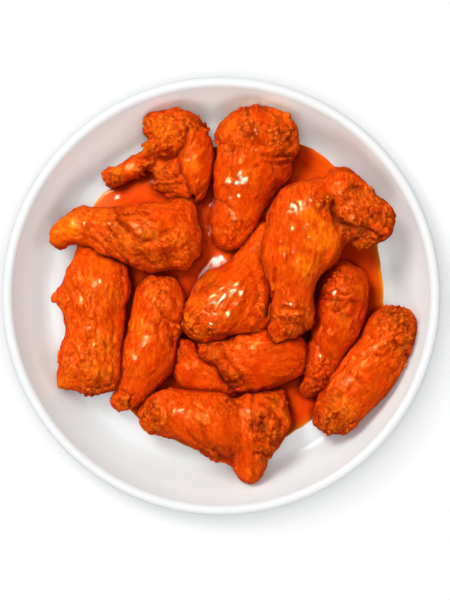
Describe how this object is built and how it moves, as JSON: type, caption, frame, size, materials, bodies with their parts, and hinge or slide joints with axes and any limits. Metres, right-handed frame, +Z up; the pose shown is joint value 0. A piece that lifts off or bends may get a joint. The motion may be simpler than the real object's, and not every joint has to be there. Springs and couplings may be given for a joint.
{
  "type": "plate of sauced chicken wings",
  "caption": "Fried chicken drumettes and flats coated in glossy orange hot sauce, heaped loosely in a puddle of sauce on a round white plate with an upright rim.",
  "frame": {"origin": "centre of the plate's foot ring, on the table", "axes": "+Z up out of the dish, +Y towards the back of the plate, +X to the right as the serving is laid"},
  "size_m": [0.27, 0.27, 0.0547],
  "materials": {
    "glazed_white": "smooth white glazed porcelain",
    "hot_sauce": "wet, glossy orange-red hot sauce",
    "sauced_skin": "fried chicken skin and crust glazed with orange hot sauce, glossy on the smooth skin and rougher on the brown crust"
  },
  "bodies": {
    "root": {"plate": "glazed_white", "sauce_pool": "hot_sauce", "flat_low": "sauced_skin", "flat_centre": "sauced_skin", "flat_left": "sauced_skin", "flat_inner_left": "sauced_skin", "flat_right": "sauced_skin", "drumette_right": "sauced_skin", "drumette_back_left": "sauced_skin", "drumette_back": "sauced_skin", "drumette_front": "sauced_skin", "drumette_centre": "sauced_skin", "drumette_left": "sauced_skin", "drumette_top": "sauced_skin"}
  },
  "joints": []
}
